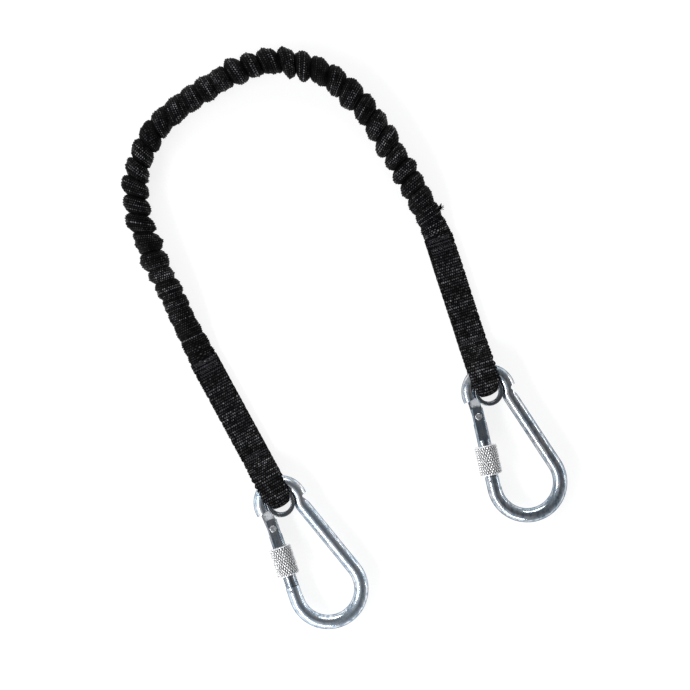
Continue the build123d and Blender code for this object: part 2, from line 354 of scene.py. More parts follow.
def zinc_material(name, turn, bright, rough, crimp=None):
    """Bright zinc plating: bluish, with lengthwise draw marks, cloudy patches and fine scratches.

    Near the point crimp, in the piece's own frame, where the metal is pressed flat, a pale satin patch is
    painted as a highlight.
    """
    shader = Shader(name)
    place = shader.add("ShaderNodeTexCoord").outputs["Object"]
    lines = shader.noise(shader.stretched(place, (950.0, 130.0, 700.0), turn), 1.0, 3.0, 0.5)
    clouds = shader.noise(place, 380.0, 4.0, 0.6)
    scratches = shader.noise(shader.stretched(place, (4500.0, 260.0, 3000.0), turn + 0.5), 1.0, 2.0)
    tint = shader.noise(place, 60.0, 2.0)
    mixed = shader.math("ADD", shader.math("MULTIPLY", lines, 0.5), shader.math("MULTIPLY", clouds, 0.5))
    # bright scales the whole colour: painted light and shade for each piece of zinc
    low = tuple(bright * part for part in (0.4, 0.47, 0.55))
    mid = tuple(bright * part for part in (0.7, 0.76, 0.82))
    high = tuple(bright * part for part in (0.95, 0.97, 0.99))
    colour = shader.ramp(mixed, (0.42, low), (0.5, mid), (0.58, high))
    warm = shader.ramp(tint, (0.35, (1.0, 0.985, 0.965)), (0.6, (0.88, 0.95, 1.0)))
    tinted = shader.mix("MULTIPLY", 1.0, colour, warm)
    shader.set(
        Base_Color=tinted,
        Metallic=1.0,
        Roughness=shader.range(mixed, 0.42, 0.58, rough * 1.7, rough * 0.7),
        Specular_Tint=(0.12, 0.15, 0.2, 1.0),
    )
    # painted highlight: a pale, less metallic patch round the crimp
    if crimp is not None:
        away = shader.add("ShaderNodeVectorMath", {0: place, 1: crimp}, operation="DISTANCE")
        ragged = shader.range(clouds, 0.3, 0.7, -0.0012, 0.0012)
        uneven = shader.math("ADD", away.outputs["Value"], ragged)
        crimp_highlight = shader.range(uneven, CRIMP_REACH - CRIMP_BLUR, CRIMP_REACH + CRIMP_BLUR, 1.0, 0.0)
        shader.set(
            Base_Color=shader.mix("MIX", crimp_highlight, tinted, CRIMP_HIGHLIGHT_COLOUR),
            Metallic=shader.range(crimp_highlight, 0.0, 1.0, 1.0, 0.35),
        )
    shader.bump(shader.math("ADD", lines, shader.math("MULTIPLY", scratches, 0.5)), 0.00003, 0.7)
    return shader.material


def knurled_material():
    """The sleeves' zinc: painted highlight on top of each small pyramid and painted shade down in the
    grooves.
    """
    shader = Shader("knurled_zinc")
    height = shader.add("ShaderNodeAttribute", attribute_name="painted_light").outputs["Fac"]
    place = shader.add("ShaderNodeTexCoord").outputs["Object"]
    clouds = shader.noise(place, 800.0, 3.0)
    lit = shader.math("ADD", height, shader.range(clouds, 0.3, 0.7, -0.12, 0.12))
    shader.set(
        # the base colour is painted light: near black in the grooves, white on the tops
        Base_Color=shader.ramp(
            lit,
            (0.28, (0.01, 0.01, 0.012)),
            (0.46, (0.6, 0.6, 0.61)),
            (0.66, (1.0, 1.0, 1.0)),
        ),
        Metallic=shader.range(lit, 0.2, 0.5, 0.2, 0.6),
        Roughness=shader.range(clouds, 0.3, 0.7, 0.22, 0.4),
    )
    shader.bump(clouds, 0.00003, 0.5)
    return shader.material


def steel_material():
    """Plain turned steel for pins, plungers and springs."""
    shader = Shader("steel")
    place = shader.add("ShaderNodeTexCoord").outputs["Object"]
    clouds = shader.noise(place, 700.0, 4.0)
    shader.set(
        Base_Color=shader.ramp(clouds, (0.3, (0.6, 0.61, 0.63)), (0.7, (0.86, 0.87, 0.88))),
        Metallic=1.0,
        Roughness=shader.range(clouds, 0.3, 0.7, 0.22, 0.4),
    )
    shader.bump(clouds, 0.00002, 0.5)
    return shader.material


def floor_material():
    """Matt and nearly white, mostly by its own glow, so that shadows on it stay faint."""
    shader = Shader("floor")
    place = shader.add("ShaderNodeTexCoord").outputs["Object"]
    tone = shader.noise(place, 3.0, 2.0)
    shader.set(
        Base_Color=shader.ramp(tone, (0.3, (0.23, 0.23, 0.23)), (0.7, (0.26, 0.26, 0.26))),
        Roughness=0.7,
        Specular_IOR_Level=0.1,
        Emission_Color=(1.0, 1.0, 1.0, 1.0),
        Emission_Strength=FLOOR_GLOW,
    )
    return shader.material


# ---- the CAD pieces that keep their meshes ----

def crimp_place(side):
    """Where the wire's end is pressed into the gate's tang, in the frame of the carabiner's body."""
    pivot = Vector(JOINTS[f"{side}_gate_hinge"]["pos_m"])
    up_gate = Vector(JOINTS[f"{side}_sleeve_travel"]["axis"])
    body = frame["nodes"][f"{side}_carabiner_body"]
    return tuple(body.matrix_world.inverted() @ (pivot + up_gate * CRIMP_FROM_PIVOT))


def wear(node, material):
    """A CAD node keeps its mesh and gets this material."""
    piece = frame["nodes"][node]
    if not piece.material_slots:
        piece.data.materials.append(material)
    for held in piece.material_slots:
        held.material = material


# ---- the gathered stretch ----

# The route, with the same points as the CAD tube. route_line adds one more on each strap, and the line
# comes down to the straps' height at both ends.
ROUTE = [
    (-0.1090, 0.0600, 0.0056),
    (-0.1200, 0.0840, 0.0070),
    (-0.1310, 0.1060, 0.00725),
    (-0.1370, 0.1300, 0.00725),
    (-0.1340, 0.1535, 0.00725),
    (-0.1230, 0.1720, 0.00725),
    (-0.1045, 0.1865, 0.00725),
    (-0.0825, 0.2000, 0.00725),
    (-0.0580, 0.2075, 0.00725),
    (-0.0340, 0.2025, 0.00725),
    (-0.0135, 0.1870, 0.00725),
    (0.0040, 0.1635, 0.00725),
    (0.0180, 0.1390, 0.0068),
    (0.0280, 0.1200, 0.0046),
]
LEG_END = 0.093                # from the eye, up the strap, to where the stretch starts
END_HEIGHT = 0.0021
COVER_DIAMETER = 0.0145
CORE_DIAMETER = 0.008

ROWS_PER_MM = 1 / 1.25         # weft rows along the fabric
RINGS_PER_ROW = 4
COVER_COLUMNS = 72             # two for each warp yarn: its crown and the gap beside it
COVER_SEED = 7
OVERLAP = 5.0                  # the cover starts this far inside each strap's end, mm

# Along the stretch, in mm from its left end: how deep the gathers are, from 0 to 1
GATHER_AT = (0, 12, 40, 54, 62, 120, 146, 154, 178, 186, 318, 332, 346, 365)
GATHER = (0.0, 0.1, 0.3, 0.5, 1.0, 1.0, 0.8, 0.3, 0.3, 1.0, 1.0, 0.5, 0.25, 0.1)
# half width and half height at a gather's crest, and between two gathers
SHAPE_AT = (0, 8, 20, 45, 62, 130, 150, 180, 190, 318, 334, 346, 356)
CREST_WIDTH = (7.6, 7.3, 6.9, 6.8, 7.45, 7.3, 6.9, 6.9, 7.7, 7.4, 7.2, 7.2, 7.6)
NOTCH_WIDTH = (7.4, 6.9, 6.3, 5.7, 4.9, 4.9, 5.8, 5.8, 4.9, 5.0, 5.8, 6.7, 7.4)
CREST_HEIGHT = (1.95, 2.8, 5.0, 6.2, 7.1, 7.1, 6.7, 6.7, 7.1, 7.1, 6.2, 4.0, 1.95)
NOTCH_HEIGHT = (1.85, 2.5, 4.6, 5.6, 5.5, 5.5, 6.0, 6.0, 5.5, 5.5, 5.4, 3.6, 1.85)
# how much the gathers lean: mm along the stretch for each mm towards its outer side
LEAN_AT = (0, 40, 80, 120, 145, 170, 195, 215, 240, 270, 300, 335, 356)
LEAN = (0.0, 0.1, 0.35, 0.46, 0.35, 0.05, -0.08, -0.22, -0.28, -0.32, -0.32, -0.22, 0.0)
OWN_LEAN = 0.12                # how far one gather's lean may differ from that
GATHER_PITCH = 10.6            # from gather to gather where they are deep, mm, and where they are faint
SMOOTH_PITCH = 8.0
PITCH_SPREAD = (0.82, 1.18)
EXTRA_ROWS = 0.12              # share of rows that a deep gather adds
SQUARE_AT = (0, 14, 345, 361)  # where the section goes from the strap's flat one to a round one
SQUARE = (0.5, 1.0, 1.0, 0.5)
SHIFT = 0.6                    # how far a gather may sit to one side, mm
ROUNDNESS = 0.94               # nearer 1 gives sharper creases between gathers
SPRUNG = 0.4                   # how far a weft rib stands out, mm
DOT_HEIGHT = 0.16              # how far a crown of yarn stands out of its rib, mm
COVER_LOWEST = 0.15            # the cover's underside, mm
CORE_RINGS = 420
CORE_SIDES = 48
CORE_STRANDS = 12
CORE_RIDGE = 0.25              # how far a strand stands out, mm
CORE_TWIST = 0.036             # radians for each mm
CORE_TAPER_TO = 30.0           # from here on the core is round, and flatter before
CORE_FLATTEST = 0.3
CORE_INSET = 4.0               # the core ends this far inside the stretch, mm


def route_line():
    """The stretch's centre line: the route's own smooth spline, read back as points."""
    ends = [eye(side) + up_leg(side) * LEG_END for side in SIDES]
    points = [(*ends[0][:2], END_HEIGHT), *ROUTE, (*ends[1][:2], END_HEIGHT)]
    curve = bpy.data.curves.new("route", "CURVE")
    curve.dimensions = "3D"
    curve.resolution_u = 32
    spline = curve.splines.new("NURBS")
    spline.points.add(len(points) - 1)
    for point, at in zip(spline.points, points):
        point.co = (*at, 1.0)
    spline.order_u = 3
    spline.use_endpoint_u = True
    holder = bpy.data.objects.new("route", curve)
    mesh = bpy.data.meshes.new_from_object(holder)
    line = np.array([vertex.co for vertex in mesh.vertices])
    bpy.data.meshes.remove(mesh)
    bpy.data.objects.remove(holder)
    bpy.data.curves.remove(curve)
    return line


class Line:
    """A centre line that can be read at any distance along it, also a little past its ends, in mm."""

    def __init__(self, points):
        self.points = points / MM
        steps = np.linalg.norm(np.diff(self.points, axis=0), axis=1)
        self.at = np.concatenate([[0.0], np.cumsum(steps)])
        self.length = self.at[-1]

    def place(self, s):
        inside = np.stack([np.interp(s, self.at, self.points[:, k]) for k in range(3)], -1)
        first, last = self.points[1] - self.points[0], self.points[-1] - self.points[-2]
        before = np.minimum(s, 0.0)[..., None] * first / np.linalg.norm(first)
        after = np.maximum(s - self.length, 0.0)[..., None] * last / np.linalg.norm(last)
        return inside + before + after

    def outward(self, s):
        """The level direction to the outer side of the bend."""
        ahead = self.place(s + 1.5) - self.place(s - 1.5)
        side = np.stack([-ahead[..., 1], ahead[..., 0], np.zeros_like(s)], -1)
        return side / np.linalg.norm(side, axis=-1)[..., None]


def gathers(length, random):
    """Ring by ring down the stretch: distance, row, place within the gather (-1 to 1) and gather number."""
    rings = []
    start, row, number = -OVERLAP, 0.0, 0
    while start < length + OVERLAP - 2.0:
        depth = np.interp(start, GATHER_AT, GATHER)
        pitch = (SMOOTH_PITCH + (GATHER_PITCH - SMOOTH_PITCH) * depth) * random.uniform(*PITCH_SPREAD)
        rows = round(pitch * ROWS_PER_MM * (1 + EXTRA_ROWS * depth))
        steps = np.arange(rows * RINGS_PER_ROW) / (rows * RINGS_PER_ROW) * 2 - 1
        bend = math.asin(ROUNDNESS)
        place = (1 - depth) * steps + depth * np.sin(steps * bend) / ROUNDNESS
        for step, at in zip(steps, place):
            rings.append((start + (at + 1) / 2 * pitch, row + (step + 1) / 2 * rows, at, number))
        start += pitch
        row += rows
        number += 1
    rings = np.array(rings)
    return rings[rings[:, 0] < length + OVERLAP]


def weave(column, row):
    """Dots of yarn, 0 to 1: one on each weft row for each warp yarn, every second row half a yarn aside."""
    number = np.floor(row)
    across = np.mod(column + 0.5 * np.mod(number, 2), 1.0)
    wide = np.sqrt(np.maximum(0.0, 1 - (2 * np.abs(across - 0.5)) ** 2))
    return wide * np.sin(math.pi * (row - number))


def waves(s, angle, random, count=5, slow=0.05, quick=0.35):
    """Smooth irregularity from -1 to 1, from a few waves along and round the stretch."""
    total = np.zeros(np.broadcast(s, angle).shape)
    for _ in range(count):
        pace, turns, start = random.uniform(slow, quick), random.integers(1, 4), random.uniform(0, 6.3)
        total += np.sin(pace * s + turns * angle + start)
    return total / count


def between(s, puff, crest, notch):
    """A half width or half height on the way from a notch to a gather's crest."""
    low, high = np.interp(s, SHAPE_AT, notch)[:, None], np.interp(s, SHAPE_AT, crest)[:, None]
    return low + (high - low) * puff


def swelling(angle, index, fullness, random):
    """Each gather's own size on its outer, inner and upper sides, and how far it sits to one side."""
    count = index.max() + 2
    outer, inner, upper = (random.uniform(-1, 1, count)[index][:, None] for _ in range(3))
    shift = random.uniform(-SHIFT, SHIFT, count)[index][:, None] * fullness
    outwards = np.cos(angle)
    swell = 1 + fullness * (
        0.12 * outer * np.maximum(0, outwards)
        + 0.17 * inner * np.maximum(0, -outwards) ** 2.5
        + 0.06 * upper * np.sin(angle)
    )
    return swell, shift


def unevenness(s, angle, depth, random):
    """A factor close to 1: slow waves where the cover is gathered, and small quick ones all along."""
    slow, quick = waves(s, angle, random), waves(s, 2 * angle, random, 6, 0.4, 1.5)
    return 1 + 0.09 * depth * slow + (0.05 + 0.03 * depth) * quick


def ribs(row, depth, puff, random):
    """The crowns of yarn, how far the ribs and crowns stand out in mm, and the painted highlight on them,
    with painted shade in the notches between gathers.
    """
    rib = np.floor(row).astype(int)
    size = random.uniform(-0.2, 1.5, rib.max() + 1)[rib][:, None]
    # a random strength of painted highlight for each rib
    painted_shine = (random.uniform(0, 1, rib.max() + 1) ** 1.2)[rib][:, None]
    dots = weave(np.arange(COVER_COLUMNS)[None] / 2.0, row[:, None])
    ridge = np.abs(np.sin(math.pi * row))[:, None] ** 0.8
    rise = (DOT_HEIGHT * dots + SPRUNG * ridge * size) * (0.4 + 0.6 * puff)
    # painted shade: the crowns are darker down in the notches between gathers
    notch_shade = 0.25 + 0.75 * (puff * depth + (1 - depth))
    painted_light = (0.45 * dots + 0.7 * dots ** 0.7 * ridge * painted_shine) * notch_shade
    return dots, rise, painted_light


def leaning(s, index, depth, random):
    """How much each ring leans: mm along the stretch for each mm outwards."""
    centres = np.array([s[index == k].mean() for k in range(index.max() + 1)])
    own = np.interp(s, centres, random.uniform(-OWN_LEAN, OWN_LEAN, len(centres)))
    return (np.interp(s, LEAN_AT, LEAN) + own * depth[:, 0])[:, None]


def cover_surface(line):
    """The gathered webbing's points, the painted highlight and shade at each one, and the row of each ring.
    """
    random = np.random.default_rng(COVER_SEED)
    s, row, at, number = gathers(line.length, random).T
    index = number.astype(int)
    angle = (np.arange(COVER_COLUMNS) * 2 * math.pi / COVER_COLUMNS)[None]
    depth = np.interp(s, GATHER_AT, GATHER)[:, None]
    crease = math.sqrt(1 - ROUNDNESS ** 2)
    puff = ((np.sqrt(1 - (ROUNDNESS * at) ** 2) - crease) / (1 - crease))[:, None]
    swell, shift = swelling(angle, index, depth * puff, random)
    size = swell * unevenness(s[:, None], angle, depth, random)
    square = np.interp(s, SQUARE_AT, SQUARE)[:, None]
    cosine, sine = np.cos(angle), np.sin(angle)
    lateral = between(s, puff, CREST_WIDTH, NOTCH_WIDTH) * size * np.sign(cosine) * np.abs(cosine) ** square
    upward = between(s, puff, CREST_HEIGHT, NOTCH_HEIGHT) * size * np.sign(sine) * np.abs(sine) ** square
    dots, rise, painted_light = ribs(row, depth, puff, random)
    grown = 1 + rise / np.hypot(lateral, upward)
    lateral = lateral * grown + shift
    upward = upward * grown
    stretch = s[:, None] + leaning(s, index, depth, random) * lateral
    centre, side = line.place(stretch), line.outward(stretch)
    points = centre + side * lateral[..., None]
    points[..., 2] = np.maximum(centre[..., 2] + upward, COVER_LOWEST + 0.1 * dots)
    return points * MM, painted_light, row


def make_cover(line, material):
    """The gathered tube of webbing."""
    points, painted_light, row = cover_surface(Line(line))
    faces = tube_faces(len(points), COVER_COLUMNS)
    uv = tube_uv(len(points), COVER_COLUMNS, np.arange(COVER_COLUMNS) / 2.0, row)
    piece = new_mesh("gathered_webbing_cover", points, faces, uv, {"painted_light": painted_light})
    piece.data.materials.append(material)
    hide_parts("gathered_cover")
    return piece


def make_core(line, material):
    """The rubber core: a round cord with the ridges of its bundled strands."""
    core = Line(line)
    first, last = CORE_INSET, core.length - CORE_INSET
    s = np.linspace(first, last, CORE_RINGS)
    angle = np.arange(CORE_SIDES) * 2 * math.pi / CORE_SIDES
    radius = CORE_DIAMETER / 2 / MM
    taper_at = (first, CORE_TAPER_TO, core.length - CORE_TAPER_TO, last)
    flatness = np.interp(s, taper_at, (CORE_FLATTEST, 1, 1, CORE_FLATTEST))[:, None]
    strands = np.abs(np.cos(CORE_STRANDS / 2 * (angle[None] + CORE_TWIST * s[:, None])))
    ridge = radius - CORE_RIDGE + CORE_RIDGE * strands
    centre, side = core.place(s), core.outward(s)
    points = centre[:, None] + side[:, None] * (ridge * np.cos(angle))[..., None]
    points[..., 2] += ridge * np.sin(angle) * flatness
    piece = new_mesh("rubber_core_cord", points * MM, tube_faces(CORE_RINGS, CORE_SIDES))
    piece.data.materials.append(material)
    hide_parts("elastic_core")
    return piece


def stretches(piece):
    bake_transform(piece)


# ---- the straps ----

STRAP_THICKNESS = 1.7
STRAP_YARNS = 12
SAMPLES_PER_YARN = 4
STRAP_RINGS_PER_ROW = 6
STRAP_ROWS_PER_MM = 1 / 1.55
PLY_HEIGHT = 0.95              # middle of the lower ply where it lies flat, mm
TOP_PLY_HEIGHT = 2.72
FOLD_UP = 4.3                  # up the leg from the eye to the fold's centre
FOLD_DEPTH = 5.6               # how far the fold reaches into the eye from there
FOLD_SQUARENESS = 0.8          # 1 is a round fold
FOLD_POINTS = 61
LOOP_TOP = 12.15               # height of the upper ply over the eye
SLOPE_FROM, SLOPE_TO = 13.2, 29.0
STRAP_TOP = 91.5
SIDE_STEP = 0.5
TACK_CENTRES = (28.8, 84.6, 88.6)
TACK_PRESS = 0.175             # how much thinner the strap is where it is sewn
STRAP_SEED = {"left": 11, "right": 12}
ROUGH_SIDE = {"left": -1, "right": 1}
FOLD_SKEW = {"left": 0.02, "right": 0.09}
LOOP_ROWS = 1.9                # weft rows for each loop of the selvedge
STRAP_SMOOTHING = 9            # rings over which the strap's corners are rounded
STRAP_LOWEST = 0.03
# strength of the painted highlight on the straps' crowns of yarn
STRAP_SHINE = 0.78
YARN_HEIGHT = 0.26
# half width of the strap, from the fold up the leg
WIDTH_AT = (-1.4, -0.6, 0.3, 1.8, 4.5, 9.0)
HALF_WIDTH = (4.8, 5.15, 5.45, 6.5, 7.2, 7.5)


def ease(t):
    t = np.clip(t, 0, 1)
    return t * t * (3 - 2 * t)


def strap_side():
    """The strap seen from its side: up the leg and up from the floor, from the lower ply round the eye."""
    lower = [(y, PLY_HEIGHT) for y in np.arange(STRAP_TOP, FOLD_UP, -SIDE_STEP)]
    middle_height = (LOOP_TOP + PLY_HEIGHT) / 2
    rise = (LOOP_TOP - PLY_HEIGHT) / 2
    fold = []
    for t in np.linspace(0, math.pi, FOLD_POINTS):
        out, down = math.sin(t) ** FOLD_SQUARENESS, abs(math.cos(t)) ** FOLD_SQUARENESS
        fold.append((FOLD_UP - FOLD_DEPTH * out, middle_height - math.copysign(rise * down, math.cos(t))))
    y = np.arange(FOLD_UP + SIDE_STEP, STRAP_TOP, SIDE_STEP)
    z = LOOP_TOP - (LOOP_TOP - TOP_PLY_HEIGHT) * ease((y - SLOPE_FROM) / (SLOPE_TO - SLOPE_FROM))
    return np.array(lower + fold + list(zip(y, z)))


def strap_rings():
    """Ring by ring along the band: distance, row, the smoothed middle line and the way out of it."""
    path = strap_side()
    run = np.concatenate([[0], np.cumsum(np.linalg.norm(np.diff(path, axis=0), axis=1))])
    rows = int(run[-1] * STRAP_ROWS_PER_MM)
    s = np.linspace(0, run[-1], rows * STRAP_RINGS_PER_ROW + 1)
    row = np.arange(len(s)) / STRAP_RINGS_PER_ROW
    spine = np.stack([np.interp(s, run, path[:, k]) for k in range(2)], -1)
    kernel = np.ones(STRAP_SMOOTHING) / STRAP_SMOOTHING
    margin = STRAP_SMOOTHING // 2
    padded = np.pad(spine, ((margin, margin), (0, 0)), mode="reflect", reflect_type="odd")
    spine = np.stack([np.convolve(padded[:, k], kernel, "valid") for k in range(2)], -1)
    tangent = np.gradient(spine, axis=0)
    tangent /= np.linalg.norm(tangent, axis=1)[:, None]
    outward = np.stack([tangent[:, 1], -tangent[:, 0]], -1)
    return s, row, spine, outward


def strap_section():
    """Once round the band: face, edge, other face, edge.

    For each point: its place across from -1 to 1, its bulge past the edge, its lift out of the middle
    from -1 to 1, its warp yarn, and 1 if it is on a face.
    """
    face = np.arange(STRAP_YARNS * SAMPLES_PER_YARN + 1) / SAMPLES_PER_YARN
    edge = np.array([0.2, 0.5, 0.8]) * math.pi
    flat_face, flat_edge = np.ones_like(face), np.ones_like(edge)
    share = 2 * face / STRAP_YARNS
    across = np.concatenate([1 - share, -flat_edge, share - 1, flat_edge])
    bulge = np.concatenate([0 * flat_face, -np.sin(edge), 0 * flat_face, np.sin(edge)])
    lift = np.concatenate([flat_face, np.cos(edge), -flat_face, -np.cos(edge)])
    yarn = np.concatenate([face, 0.5 * flat_edge, STRAP_YARNS - face, 0.5 * flat_edge])
    on_face = np.concatenate([flat_face, 0 * flat_edge, flat_face, 0 * flat_edge])
    return across, bulge, lift, yarn, on_face


def strap_surface(side):
    """The folded band in the strap's own frame (across, up the leg, up), its painted highlight on the
    crowns of yarn, and its rows.
    """
    random = np.random.default_rng(STRAP_SEED[side])
    s, row, spine, outward = strap_rings()
    across, bulge, lift, yarn, on_face = strap_section()
    up_strap = spine[:, 0]
    relief = weave(yarn[None], row[:, None]) * on_face
    whole_row = np.floor(row).astype(int)
    # a random strength of painted highlight for each row
    painted_shine = random.uniform(0.6, 1.0, whole_row[-1] + 1)[whole_row][:, None]
    # the selvedge is a row of small loops, which stand out on one side
    loops = np.abs(np.sin(math.pi * (row / LOOP_ROWS + 0.35 * np.sin(row * 0.7)))) - 0.5
    wander = waves(s, 0, random, 4, 0.05, 0.3)
    width = np.interp(up_strap, WIDTH_AT, HALF_WIDTH)
    flat_part = ease((up_strap - 2.0) / 5.0)
    on_rough_side = np.sign(across + 1e-9)[None] == ROUGH_SIDE[side]
    roughness = np.where(on_rough_side, 1.0, 0.25)
    fringe = (roughness * loops[:, None] + 0.12 * wander[:, None]) * flat_part[:, None]
    half = STRAP_THICKNESS / 2
    x = across[None] * (width[:, None] + fringe) + 0.55 * half * bulge[None]
    # the fold's middle reaches a little further into the eye than its edges
    fold = ease((FOLD_UP - up_strap) / 5.0)[:, None]
    curl = fold * (0.035 * x ** 2 + FOLD_SKEW[side] * x)
    ripple = 0.06 * waves(s[:, None], across[None] * 2, random, 5, 0.2, 0.9)
    sewn = sum(np.exp(-((up_strap - at) / 1.6) ** 2) for at in TACK_CENTRES)
    crimp_highlight = 1 - TACK_PRESS * sewn[:, None]
    rise = lift[None] * half * crimp_highlight + np.sign(lift)[None] * YARN_HEIGHT * relief + ripple
    y = up_strap[:, None] + outward[:, 0][:, None] * rise + curl
    z = spine[:, 1][:, None] + outward[:, 1][:, None] * rise
    return np.stack([x, y, np.maximum(z, STRAP_LOWEST)], -1), relief * painted_shine, row


def make_strap(side, material):
    """The end strap: one band of webbing folded round the eye."""
    points, painted_shine, row = strap_surface(side)
    placed = on_leg(side, points.reshape(-1, 3) * MM)
    around = points.shape[1]
    faces = tube_faces(len(points), around)
    uv = tube_uv(len(points), around, np.arange(around) / SAMPLES_PER_YARN, row)
    piece = new_mesh(f"{side}_strap_webbing", placed, faces, uv, {"painted_light": painted_shine * STRAP_SHINE})
    piece.data.materials.append(material)
    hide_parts(f"{side}_end_strap")
    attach(piece, STRAP_BODY[side])


# ---- stitching ----

THREAD_RADIUS = 0.15
STITCH_SEED = {"left": 21, "right": 22}
STITCHES = 9                   # in one row across the strap
STITCH_HEIGHT = 3.62           # from the floor, in the strap's upper face
# for each tack, where its rows lie up the strap and how far the zigzag swings
TACKS = {
    "lower": ((27.2, 28.9, 30.4), 0.9),
    "upper": ((82.8, 84.9, 87.1, 89.2, 90.4), 1.1),
}
TACK_HALF = 6.2                # half the width of a row


def zigzag(up, height, random):
    """One row of zigzag stitches across the strap, sunk a little into the weave at each turn."""
    x = np.linspace(-TACK_HALF, TACK_HALF, STITCHES * 8 + 1)
    phase = np.linspace(0, STITCHES, len(x))
    swing = 2 * np.abs(phase % 1 - 0.5) * 2 - 1
    bow = 0.35 * (x / TACK_HALF) ** 2 * random.uniform(-1, 1)
    slant = random.uniform(-0.03, 0.03) * x
    depth = 0.22 * (1 - np.abs(swing)) + 0.05 * np.sin(x * 2.1 + random.uniform(0, 6))
    return np.stack([x, up + height * swing / 2 + bow + slant, STITCH_HEIGHT + depth], -1)


def make_tacks(side, material):
    """The strap's two bar tacks, as threads."""
    random = np.random.default_rng(STITCH_SEED[side])
    for which, (rows, height) in TACKS.items():
        paths = [on_leg(side, zigzag(up, height, random) * MM) for up in rows]
        piece = threads(f"{side}_{which}_stitching", paths, THREAD_RADIUS * MM)
        piece.data.materials.append(material)
        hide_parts(f"{side}_{which}_bar_tack")
        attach(piece, STRAP_BODY[side])


TUFT_SEED = 5
TUFT_THREADS = 26
TUFT_FROM_END = 12.0           # back along the stretch from the right strap, mm
TUFT_OUT = 7.0                 # from the centre line to the cover's side
TUFT_THREAD_RADIUS = 0.13


def make_tuft(line, material):
    """A frayed bit of yarn that stands out from the cover close to the right strap."""
    random = np.random.default_rng(TUFT_SEED)
    stretch = Line(line)
    root_s = np.array([stretch.length - TUFT_FROM_END])
    root, out = stretch.place(root_s)[0], stretch.outward(root_s)[0]
    back = stretch.place(root_s - 2.0)[0] - root
    back /= np.linalg.norm(back)
    up = np.array([0.0, 0.0, 1.0])
    t = np.linspace(0, 1, 9)[:, None]
    paths = []
    for _ in range(TUFT_THREADS):
        length = random.uniform(1.6, 3.6)
        way = out + back * random.uniform(-0.2, 1.1) + up * random.uniform(-0.2, 0.5)
        way /= np.linalg.norm(way)
        droop = random.uniform(-0.5, 0.5, 3)
        aside, height = random.uniform(-0.8, 0.8), random.uniform(0.3, 1.6)
        start = root + out * TUFT_OUT + back * aside + up * height
        paths.append((start + way * t * length + droop * t ** 2) * MM)
    piece = threads("frayed_yarn", paths, TUFT_THREAD_RADIUS * MM, 5)
    piece.data.materials.append(material)
    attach(piece, "right_end")


# ---- the knurled sleeves ----

SLEEVE_RADIUS = 6.4
SLEEVE_LENGTH = 16.7
KNURLS = 26                    # grooves each way round the sleeve
KNURL_ANGLE = math.radians(30)
KNURL_STEPS = 8                # points from groove to groove
KNURL_DEPTH = 0.42
KNURL_LEAD = 2 * math.pi * SLEEVE_RADIUS / KNURLS / math.tan(KNURL_ANGLE)
SLEEVE_BORE = 3.76             # radius of the bore, and of its wider mouth for the nose
SLEEVE_RELIEF = 4.45
RELIEF_DEPTH = 5.6
SLEEVE_CHAMFER = 0.55
# painted brightness of the chamfers and the bore, on the same scale as the knurl's painted light
CHAMFER_SHINE, BORE_SHINE = 0.7, 0.5


def knurl(angle, t):
    """A diamond knurl's height, from 0 down in the grooves to 1 on the flat top of each pyramid."""
    turn, along = angle[None] * KNURLS / (2 * math.pi), t[:, None] / KNURL_LEAD
    one, two = (1 - 2 * np.abs(phase % 1 - 0.5) for phase in (turn + along, turn - along))
    return np.minimum(np.minimum(one, two) * 1.5, 1.0)


def sleeve_inside():
    """The outline of the bore, from the mouth for the nose up: distance along the sleeve, and radius."""
    step_at = SLEEVE_LENGTH - RELIEF_DEPTH
    return [
        (SLEEVE_LENGTH, SLEEVE_RELIEF + 0.9),
        (SLEEVE_LENGTH, SLEEVE_RELIEF + 0.25),
        (SLEEVE_LENGTH - 0.25, SLEEVE_RELIEF),
        (step_at + 0.1, SLEEVE_RELIEF),
        (step_at, SLEEVE_RELIEF - 0.1),
        (step_at, SLEEVE_BORE + 0.1),
        (step_at - 0.1, SLEEVE_BORE),
        (0.25, SLEEVE_BORE),
        (0.0, SLEEVE_BORE + 0.25),
        (0.0, SLEEVE_BORE + 1.2),
    ]


